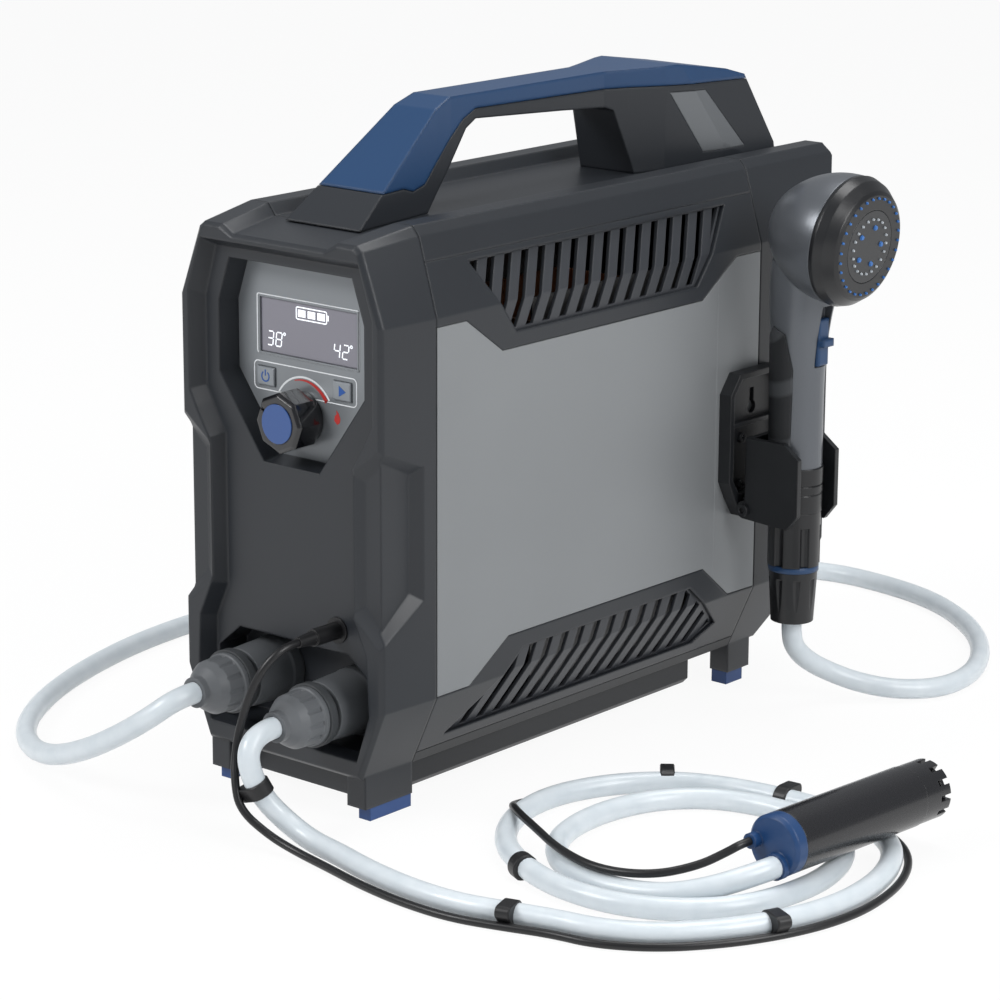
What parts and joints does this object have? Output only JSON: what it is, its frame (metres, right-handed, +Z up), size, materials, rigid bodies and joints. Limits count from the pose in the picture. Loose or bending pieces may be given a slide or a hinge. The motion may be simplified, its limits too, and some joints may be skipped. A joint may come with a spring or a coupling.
{
  "type": "portable shower",
  "caption": "Portable gas-heated camp shower: heater unit with carry handle, display and knob, handset in a side holder, hoses and a submersible pump.",
  "frame": {"origin": "plan centre of the heater unit on the floor that it stands on", "axes": "+Z up, front with the controls towards -Y, handset side towards +X"},
  "size_m": [0.6799, 0.7184, 0.4235],
  "materials": {
    "case_plastic": "satin",
    "dark_plastic": "matt",
    "panel_grey": "satin",
    "blue_plastic": "satin",
    "silver_plastic": "satin",
    "black_gloss": "gloss",
    "lcd": "gloss",
    "port_grey": "satin",
    "rubber_black": "matt",
    "hose_clear": "satin, translucent",
    "cable_black": "satin",
    "steel": "brushed",
    "copper_fins": "satin",
    "board_green": "satin",
    "handset_grey": "satin"
  },
  "bodies": {
    "unit": {"front_cap": "case_plastic", "rear_cap": "case_plastic", "top_cover": "case_plastic", "right_side_shell": "case_plastic", "left_side_shell": "case_plastic", "right_panel": "panel_grey", "left_panel": "panel_grey", "upper_grilles": "dark_plastic", "lower_grilles": "dark_plastic", "base_tray": "dark_plastic", "handle": "case_plastic", "handle_cap": "blue_plastic", "handle_inserts": "silver_plastic", "feet": "blue_plastic", "control_panel": "silver_plastic", "lcd_glass": "lcd", "gas_regulator": "steel", "control_board": "board_green", "hose_ports": "port_grey", "hose_nuts": "port_grey", "dc_socket": "rubber_black", "dc_plug": "rubber_black", "chassis": "steel", "heat_exchanger": "copper_fins", "burner": "steel", "battery_pack": "dark_plastic", "water_pipes": "copper_fins", "gas_pipes": "copper_fins", "gas_inlet": "steel", "holder_bracket": "dark_plastic", "bracket_screws": "steel", "holder_fork": "dark_plastic", "fork_screw": "steel", "pump_body": "dark_plastic", "pump_cap": "blue_plastic", "pump_strainer": "dark_plastic", "pump_hose": "hose_clear", "hose_coil": "hose_clear", "pump_hose_tail": "hose_clear", "shower_hose": "hose_clear", "shower_hose_tail": "hose_clear", "pump_cable": "cable_black", "pump_cable_tail": "cable_black", "hose_clips": "cable_black"},
    "knob": {"knob": "black_gloss", "knob_badge": "blue_plastic", "knob_spindle": "steel"},
    "power_button": {"power_button": "dark_plastic"},
    "start_button": {"start_button": "dark_plastic"},
    "shower_port_sleeve": {"shower_port_sleeve": "port_grey"},
    "pump_port_sleeve": {"pump_port_sleeve": "port_grey"},
    "handset": {"handset_body": "handset_grey", "handset_grip": "rubber_black", "handset_pads": "rubber_black", "nozzle_plate": "blue_plastic", "handset_coupling": "dark_plastic", "coupling_ring": "blue_plastic", "handset_nut": "dark_plastic"},
    "spray_ring": {"spray_ring": "handset_grey"},
    "flow_slider": {"flow_slider": "blue_plastic"}
  },
  "joints": [
    {"name": "knob_turn", "type": "hinge", "parent": "unit", "child": "knob", "pos_m": [-0.003, -0.21, 0.239], "axis": [0, 1, 0], "range_deg": [0, 150]},
    {"name": "power_press", "type": "slide", "parent": "unit", "child": "power_button", "axis": [0, 1, 0], "range_m": [0, 0.0012], "stiffness_N_per_m": 400},
    {"name": "start_press", "type": "slide", "parent": "unit", "child": "start_button", "axis": [0, 1, 0], "range_m": [0, 0.0012], "stiffness_N_per_m": 400},
    {"name": "shower_port_release", "type": "slide", "parent": "unit", "child": "shower_port_sleeve", "axis": [0, -1, 0], "range_m": [0, 0.0035], "stiffness_N_per_m": 1500},
    {"name": "pump_port_release", "type": "slide", "parent": "unit", "child": "pump_port_sleeve", "axis": [0, -1, 0], "range_m": [0, 0.0035], "stiffness_N_per_m": 1500},
    {"name": "handset_lift", "type": "slide", "parent": "unit", "child": "handset", "axis": [0, 0, 1], "range_m": [0, 0.065]},
    {"name": "spray_turn", "type": "hinge", "parent": "handset", "child": "spray_ring", "pos_m": [0.161, 0.123, 0.3215], "axis": [0.9925, 0, -0.1219], "range_deg": [0, 120]},
    {"name": "flow_slide", "type": "slide", "parent": "handset", "child": "flow_slider", "axis": [0, 0, 1], "range_m": [0, 0.008]}
  ]
}
